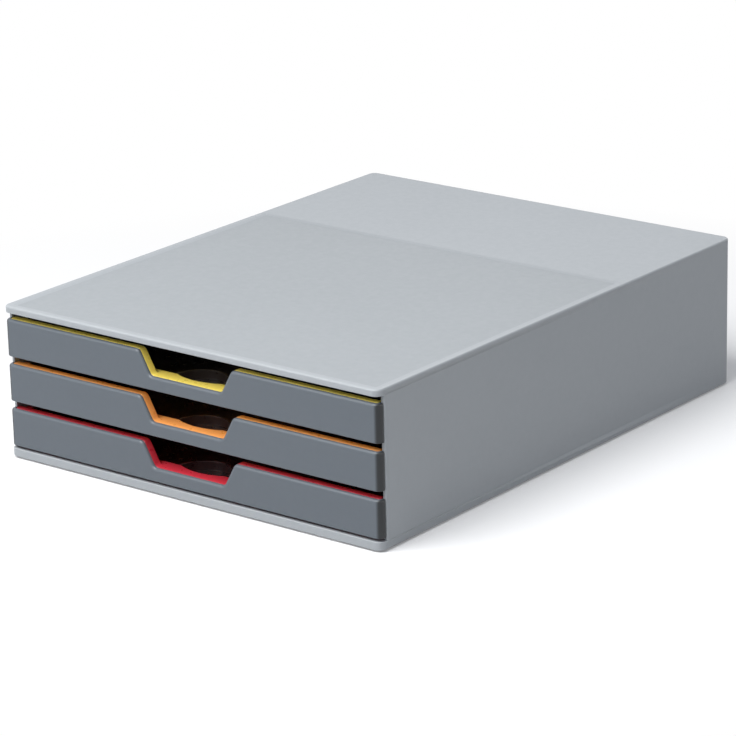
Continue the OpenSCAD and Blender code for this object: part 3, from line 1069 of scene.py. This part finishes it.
stage = {
    "floorSize": 12,
    "floorColour": (0.56, 0.56, 0.56),
    "floorSeen": (0.99, 0.99, 0.99),
    "glowLow": 0.15,  # share of plain white in the seen floor near the object
    "glowStart": 0.24,  # metres from the middle, where the seen floor starts to turn white
    "glowStop": 0.5,
    "air": 0.17,
    "airColour": (0.88, 0.96, 1.14),
    "softBoxes": {
        "keyLight": {"power": 27, "place": (-0.14, -0.83, 1.3), "size": (1.1, 1.1)},
        "frontLight": {"power": 3.5, "place": (-0.6, -1.6, 0.6), "size": (0.8, 0.4)},
        "sideLight": {"power": 4.2, "place": (1.7, 0.2, 0.8), "size": (1.2, 0.8)},
        "backLight": {"power": 4, "place": (-0.3, 1.3, 1.5), "size": (1.2, 0.6)},
    },
}


def seenDirectly(tree):  # 1 for what the camera sees, straight or in a gloss
    ray = addNode(tree, "ShaderNodeLightPath").outputs
    gloss = maths(tree, "MAXIMUM", ray["Is Glossy Ray"], ray["Is Transmission Ray"])
    return maths(tree, "MAXIMUM", ray["Is Camera Ray"], gloss)


def studioPaper(look):
    paper = bpy.data.materials.new("studioPaper")
    paper.use_nodes = True
    tree = paper.node_tree
    tree.nodes.clear()
    plain = addNode(tree, "ShaderNodeBsdfDiffuse")
    seen = addNode(tree, "ShaderNodeBsdfDiffuse")
    plain.inputs["Color"].default_value = (*look["floorColour"], 1)
    seen.inputs["Color"].default_value = (*look["floorSeen"], 1)
    glow = addNode(tree, "ShaderNodeEmission")
    glow.inputs["Strength"].default_value = 1
    place = addNode(tree, "ShaderNodeTexCoord").outputs["Object"]
    reach = addNode(tree, "ShaderNodeVectorMath", operation="LENGTH")
    tree.links.new(place, reach.inputs[0])
    lifted = addNode(tree, "ShaderNodeMixShader")
    haze = spread(tree, reach.outputs["Value"], look["glowLow"], 1,
                  look["glowStart"], look["glowStop"])
    tree.links.new(haze, lifted.inputs[0])
    mix = addNode(tree, "ShaderNodeMixShader")
    out = addNode(tree, "ShaderNodeOutputMaterial")
    tree.links.new(seen.outputs[0], lifted.inputs[1])
    tree.links.new(glow.outputs[0], lifted.inputs[2])
    tree.links.new(seenDirectly(tree), mix.inputs[0])
    tree.links.new(plain.outputs[0], mix.inputs[1])
    tree.links.new(lifted.outputs[0], mix.inputs[2])
    tree.links.new(mix.outputs[0], out.inputs["Surface"])
    return paper


def makeStage(look):
    bm = bmesh.new()
    bmesh.ops.create_grid(bm, x_segments=2, y_segments=2, size=look["floorSize"] / 2)
    floor = newObject("studioFloor", bm)
    floor.data.materials.append(studioPaper(look))

    for name, box in look["softBoxes"].items():
        data = bpy.data.lights.new(name, "AREA")
        data.shape = "RECTANGLE"
        data.size, data.size_y = box["size"]
        data.energy = box["power"]
        lamp = bpy.data.objects.new(name, data)
        lamp.location = box["place"]
        lamp.rotation_euler = Vector(box["place"]).to_track_quat("Z", "Y").to_euler()
        bpy.context.scene.collection.objects.link(lamp)

    world = bpy.data.worlds.new("studioAir")
    bpy.context.scene.world = world
    world.use_nodes = True
    tree = world.node_tree
    tree.nodes.clear()
    soft = addNode(tree, "ShaderNodeBackground")
    soft.inputs["Strength"].default_value = look["air"]
    soft.inputs["Color"].default_value = (*look["airColour"], 1)
    white = addNode(tree, "ShaderNodeBackground")
    white.inputs["Strength"].default_value = 1
    white.inputs["Color"].default_value = (1, 1, 1, 1)
    mix = addNode(tree, "ShaderNodeMixShader")
    out = addNode(tree, "ShaderNodeOutputWorld")
    tree.links.new(seenDirectly(tree), mix.inputs[0])
    tree.links.new(soft.outputs[0], mix.inputs[1])
    tree.links.new(white.outputs[0], mix.inputs[2])
    tree.links.new(mix.outputs[0], out.inputs["Surface"])


makeStage(stage)
bpy.context.scene.view_settings.view_transform = "Standard"
print("stage ready")
